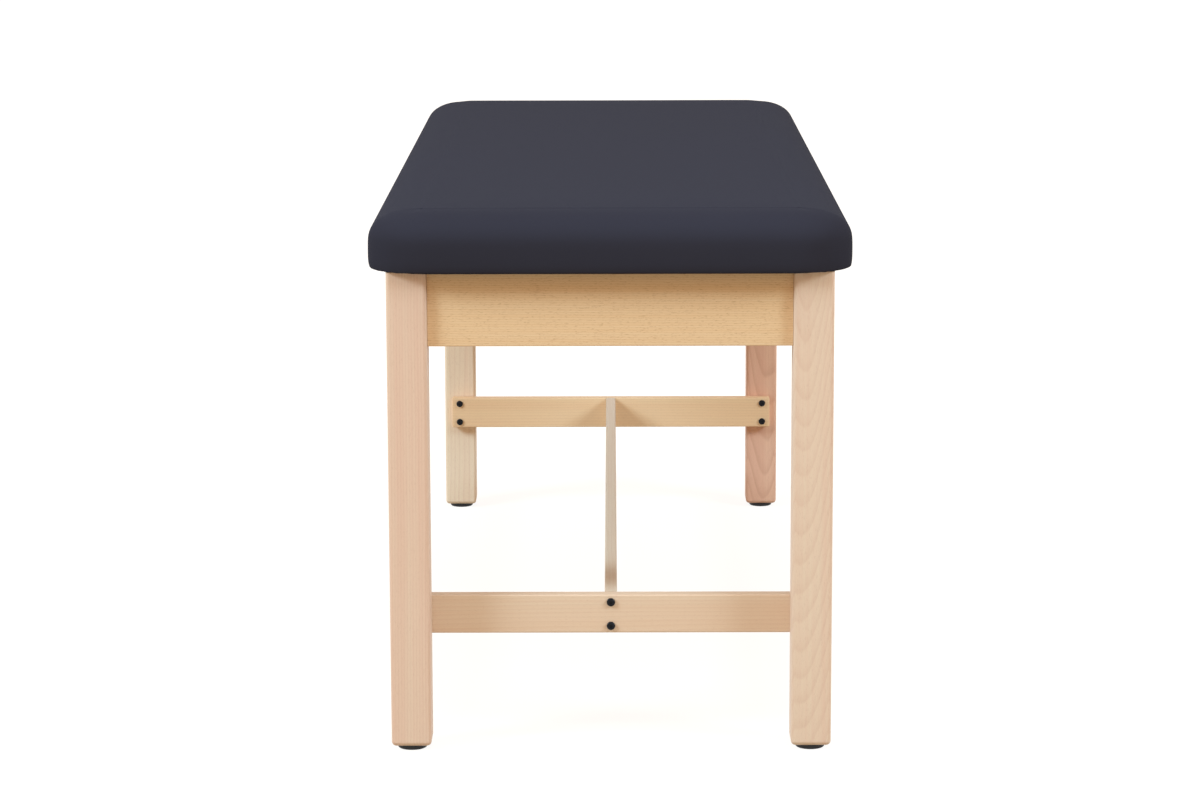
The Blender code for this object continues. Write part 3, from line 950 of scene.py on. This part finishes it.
glide = {"bottomRound": 0.0028, "topRound": 0.0006, "recess": [(0, 0.0005), (0.009, 0.0005), (0.0095, 0)],
         "floor": 0.002, "lip": 0.0018, "lipEdge": 0.0004, "room": 0.0006,
         "stemRadius": 0.004, "stemCore": 0.0033, "stemFlange": 0.007, "stemEdge": 0.0003,
         "neck": (0.0082, 0.0088, 0.0095), "threadStart": 0.009, "threadEnd": 0.0008,
         "noseRadius": 0.0028, "noseLength": 0.002}


def makeGlides(sizes):
    rod, core, flange, edge = (sizes["stem" + word] for word in ("Radius", "Core", "Flange", "Edge"))
    low, high = vectors(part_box("glide_disc_near_left"))
    radius, top = (high.x - low.x) / 2, high.z
    curve = [(radius - sizes["bottomRound"] * (1 - math.sin(math.radians(angle))),
              sizes["bottomRound"] * (1 - math.cos(math.radians(angle)))) for angle in range(0, 91, 15)]
    hole, pocket, lip = rod + sizes["room"], flange + sizes["room"], top - sizes["lip"]
    outline = sizes["recess"] + curve
    outline += [(radius, top - sizes["topRound"]), (radius - sizes["topRound"], top),
                (hole + sizes["lipEdge"], top), (hole, top - sizes["lipEdge"]), (hole, lip), (pocket, lip),
                (pocket, sizes["floor"]), (0, sizes["floor"])]
    spread(turned("glideDisc", outline, 96), "glide_disc", standing, "plastic", "glide_{}")

    low, high = vectors(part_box("glide_stem_near_left"))
    foot, tip, shelf = low.z, high.z, lip - edge
    neckLow, neckHigh, neckTop = sizes["neck"]
    stem = turned("glideStem", [
        (0, foot), (flange - edge, foot), (flange, foot + edge), (flange, shelf - edge),
        (flange - edge, shelf), (rod, shelf), (rod, neckLow), (core, neckHigh), (core, neckTop),
        (0, neckTop)])
    thread = threaded("thread", rod, sizes["threadStart"], tip - sizes["threadEnd"])
    nose = plug(tip - sizes["noseLength"], tip, core, sizes["noseRadius"])
    spread(joinPieces(stem, thread, nose), "glide_stem", standing, body="stem_{}")


makeGlides(glide)
print("glides done")


# Pad: the vinyl cover over its foam

pad = {
    "cornerRadius": 0.088, "cornerSegments": 20, "spacing": 0.022,
    "rollWidth": 0.066, "rollHeight": 0.042, "rollSteps": 9, "rollPower": 0.86, "rollBorder": 0.008,
    "tuckWidth": 0.0045, "tuckHeight": 0.018, "tuckSteps": 4, "hemWidth": 0.05, "hemSteps": 4,
    "crown": 0.003, "crownReach": 0.2, "fuller": 0.0027,
    "thickness": 0.0014, "foamGap": 0.0004, "boardGap": 0.0003,
    "cloth": {"quality": 6, "mass": 0.4, "tension_stiffness": 40, "compression_stiffness": 40,
              "bending_stiffness": 2, "uniform_pressure_force": 4.0},
    "swellRoom": 0.0015, "swellLimit": 0.002, "easing": 30, "frames": 20,
    "pleatDepth": 0.0012, "pleatHeight": 0.024, "pleatReach": 0.022, "pleatsPerCorner": 12, "pleatEnds": 12,
    "pleatWobble": 2.2, "pleatRoundness": 0.6, "pleatFade": 1.5, "pleatShares": (0.75, 0.9),
}


def insetSteps(steps):
    # insets the selected face by each pair's width, and raises it by the pair's height
    for width, height in steps:
        bpy.ops.mesh.inset(thickness=max(width, 1e-5), depth=height, use_even_offset=True, use_boundary=True)


def quarterSteps(width, height, count, power=1.0):
    # a quarter of an ellipse as steps, from upright to flat; a power below 1 makes it fuller
    turnings = [math.radians(90) * i / count for i in range(count + 1)]
    places = [(width * (1 - max(0, math.cos(turn)) ** power), height * math.sin(turn) ** power)
              for turn in turnings]
    return [(b[0] - a[0], b[1] - a[1]) for a, b in zip(places, places[1:])]


def padSurface(sizes):
    low, high = vectors(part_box("vinyl_cover"))
    room = sizes["swellRoom"]
    wide = low.z + sizes["tuckHeight"]
    shoulder = high.z - sizes["crown"] - sizes["rollHeight"]
    form = startBox("padCover", (low.x + room, low.y + room, wide),
                    (high.x - room, high.y - room, shoulder))
    edit(form, "EDGE")
    pickEdges(form, lambda middle, run: abs(run.z) > 0.9)
    bpy.ops.mesh.bevel(offset=sizes["cornerRadius"] - room, segments=sizes["cornerSegments"], profile=0.5,
                       affect="EDGES", clamp_overlap=False)
    bpy.ops.mesh.select_mode(type="FACE")
    pickFaces(form, lambda middle, normal: abs(normal.z) > 0.9)
    bpy.ops.mesh.delete(type="ONLY_FACE")
    bpy.ops.mesh.select_mode(type="EDGE")
    for axis in (0, 1):
        length = (high - low)[axis] - 2 * sizes["cornerRadius"]
        pickEdges(form, lambda middle, run: abs(run[axis]) > 0.99)
        shape = bmesh.from_edit_mesh(form.data)
        for edge in shape.edges:
            if edge.select and edge.calc_length() < length / 2:
                edge.select = False
        bmesh.update_edit_mesh(form.data)
        bpy.ops.mesh.subdivide(number_cuts=2 * round(length / sizes["spacing"] / 2) - 1)
    for level in (wide, shoulder):
        pickEdges(form, lambda middle, run: abs(middle.z - level) < 1e-5)
        bpy.ops.mesh.edge_face_add()
    bpy.ops.mesh.select_all(action="SELECT")
    bpy.ops.mesh.normals_make_consistent(inside=False)
    bpy.ops.mesh.select_mode(type="FACE")

    pickFaces(form, lambda middle, normal: normal.z > 0.9)
    insetSteps(quarterSteps(sizes["rollWidth"], sizes["rollHeight"], sizes["rollSteps"], sizes["rollPower"]))
    insetSteps([(sizes["rollBorder"], 0)])
    bpy.ops.mesh.delete(type="ONLY_FACE")
    bpy.ops.mesh.select_mode(type="EDGE")
    shape = bmesh.from_edit_mesh(form.data)
    bpy.ops.mesh.select_all(action="DESELECT")
    for edge in shape.edges:
        if edge.is_boundary:
            edge.select = True
    bmesh.update_edit_mesh(form.data)
    acrossCount = 2 * round(((high - low).x - 2 * sizes["cornerRadius"]) / sizes["spacing"] / 2)
    # the grid starts in the middle of a rounded corner
    shape = bmesh.from_edit_mesh(form.data)
    rim = [vert for vert in shape.verts if vert.is_boundary]
    cornerVert = max(rim, key=lambda vert: vert.co.x + vert.co.y)
    shape.select_history.clear()
    shape.select_history.add(cornerVert)
    bmesh.update_edit_mesh(form.data)
    bpy.ops.mesh.fill_grid(span=acrossCount + sizes["cornerSegments"], offset=0)

    bpy.ops.mesh.select_mode(type="FACE")
    pickFaces(form, lambda middle, normal: normal.z < -0.9)
    insetSteps(quarterSteps(sizes["tuckWidth"], sizes["tuckHeight"], sizes["tuckSteps"]))
    insetSteps([(sizes["hemWidth"] / sizes["hemSteps"], 0)] * sizes["hemSteps"])
    leaveEdit()
    return form


def padInset(point, high, radius):
    # how far a point lies in from the rounded outline, and its angle about the corner's centre
    x, y = (abs(point[axis]) - high[axis] + radius for axis in (0, 1))
    if min(x, y) <= 0:
        return radius - max(x, y), None
    return radius - math.hypot(x, y), math.atan2(y, x)


def padCrown(form, sizes):
    # the top rises slowly from the outline to its middle
    low, high = vectors(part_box("vinyl_cover"))
    for vert in form.data.vertices:
        if vert.co.z > (low.z + high.z) / 2:
            inset = max(0, padInset(vert.co, high, sizes["cornerRadius"])[0])
            vert.co.z += sizes["crown"] * (1 - (1 - min(1, inset / sizes["crownReach"])) ** 2)


def swellPad(form, sizes):
    # the cover held under the board and pressed out by the foam, as cloth
    scene = bpy.context.scene
    low = Vector(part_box("vinyl_cover")[0])
    start = [vert.co.copy() for vert in form.data.vertices]
    held = form.vertex_groups.new(name="held")
    below = [i for i, point in enumerate(start) if point.z < low.z + sizes["tuckHeight"] / 2]
    held.add(below, 1.0, "REPLACE")
    cloth = form.modifiers.new("cloth", "CLOTH")
    cloth.settings.vertex_group_mass = "held"
    cloth.settings.use_pressure = True
    for name, value in sizes["cloth"].items():
        setattr(cloth.settings, name, value)
    cloth.settings.effector_weights.gravity = 0
    cloth.point_cache.frame_start, cloth.point_cache.frame_end = 1, sizes["frames"]
    for number in range(1, sizes["frames"] + 1):
        scene.frame_set(number)
    activate(form)
    bpy.ops.object.modifier_apply(modifier="cloth")
    moves = [vert.co - before for vert, before in zip(form.data.vertices, start)]
    print("swell: largest", round(max(move.length for move in moves), 4))
    for _ in range(sizes["easing"]):  # evens the swelling between neighbours, so nothing creases
        sums = [move.copy() for move in moves]
        counts = [1] * len(moves)
        for edge in form.data.edges:
            a, b = edge.vertices
            sums[a] += moves[b]
            sums[b] += moves[a]
            counts[a] += 1
            counts[b] += 1
        moves = [total / count for total, count in zip(sums, counts)]
    limit = sizes["swellLimit"]
    for vert, before, move in zip(form.data.vertices, start, moves):
        vert.co = before + move * limit / (limit + move.length)
    scene.frame_set(1)
    form.vertex_groups.clear()


def refinePad(form):
    # the one wide face that is left inside the hem goes, and the rest is halved once
    edit(form)
    pickFaces(form, lambda middle, normal: normal.z < -0.9 and middle.length < 0.75 and abs(middle.x) < 0.01)
    bpy.ops.mesh.delete(type="ONLY_FACE")
    leaveEdit()
    finer = form.modifiers.new("finer", "SUBSURF")
    finer.levels = finer.render_levels = 1
    applyModifiers(form)


def fitPad(form, sizes):
    # back to the CAD cover's reach, whatever the swelling gave, with a slightly fuller top
    low, high = vectors(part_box("vinyl_cover"))
    reach = [max(abs(vert.co[axis]) for vert in form.data.vertices) for axis in (0, 1)]
    stretch = (high.z + sizes["fuller"] - low.z) / (high.z - low.z)
    for vert in form.data.vertices:
        vert.co.x *= high.x / reach[0]
        vert.co.y *= high.y / reach[1]
        vert.co.z = low.z + max(0, vert.co.z - low.z) * stretch


def addPleats(form, sizes):
    # the vinyl gathers where it turns under at the corners
    low, high = vectors(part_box("vinyl_cover"))
    height, (least, most) = sizes["pleatHeight"], sizes["pleatShares"]
    for vert, normal in [(vert, vert.normal.copy()) for vert in form.data.vertices]:
        inset, angle = padInset(vert.co, high, sizes["cornerRadius"])
        rise = vert.co.z - low.z
        if angle is None or rise > height:
            continue
        seed = 3 * math.copysign(1, vert.co.x) + 5 * math.copysign(1, vert.co.y)
        ends = min(1, min(angle, math.radians(90) - angle) / math.radians(sizes["pleatEnds"]))
        wobble = sizes["pleatWobble"] * noise.noise(Vector((angle * 4, seed, 0.3)))
        wave = abs(math.sin(sizes["pleatsPerCorner"] * angle + wobble)) ** sizes["pleatRoundness"]
        depth = sizes["pleatDepth"] * (least + most * noise.noise(Vector((angle * 3, seed, 7.1)))) * ends
        if rise < 0.001:  # underneath, the folds rise into the hem and fade before the leg
            vert.co.z += depth * wave * max(0, 1 - inset / sizes["pleatReach"])
        else:
            vert.co += normal * depth * (wave - 0.5) * (1 - rise / height) ** sizes["pleatFade"]


def makePad(sizes):
    cover = padSurface(sizes)
    padCrown(cover, sizes)
    swellPad(cover, sizes)
    refinePad(cover)
    fitPad(cover, sizes)

    foam = copyPiece(cover, "foamCore", Matrix())
    shrink = foam.modifiers.new("shrink", "DISPLACE")
    shrink.mid_level = 0
    shrink.strength = -sizes["thickness"] - sizes["foamGap"]
    applyModifiers(foam)
    edit(foam)  # the foam ends on the board
    cutAway((0, 0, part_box("base_board")[1][2] + sizes["boardGap"]), (0, 0, -1))
    leaveEdit()
    finishPiece(foam, finishes["foam"], ["foam_core"], smooth=60, weigh=False)

    addPleats(cover, sizes)
    skin = cover.modifiers.new("skin", "SOLIDIFY")
    skin.thickness = sizes["thickness"]
    skin.offset = -1
    applyModifiers(cover)
    finishPiece(cover, finishes["vinyl"], ["vinyl_cover"], smooth=60, weigh=False)
    print("pad:", len(cover.data.polygons), "faces in the cover,", len(foam.data.polygons), "in the foam")


makePad(pad)


# The board under the foam keeps its CAD shape

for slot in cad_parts["base_board"].material_slots:
    slot.material = finishes["plywood"]
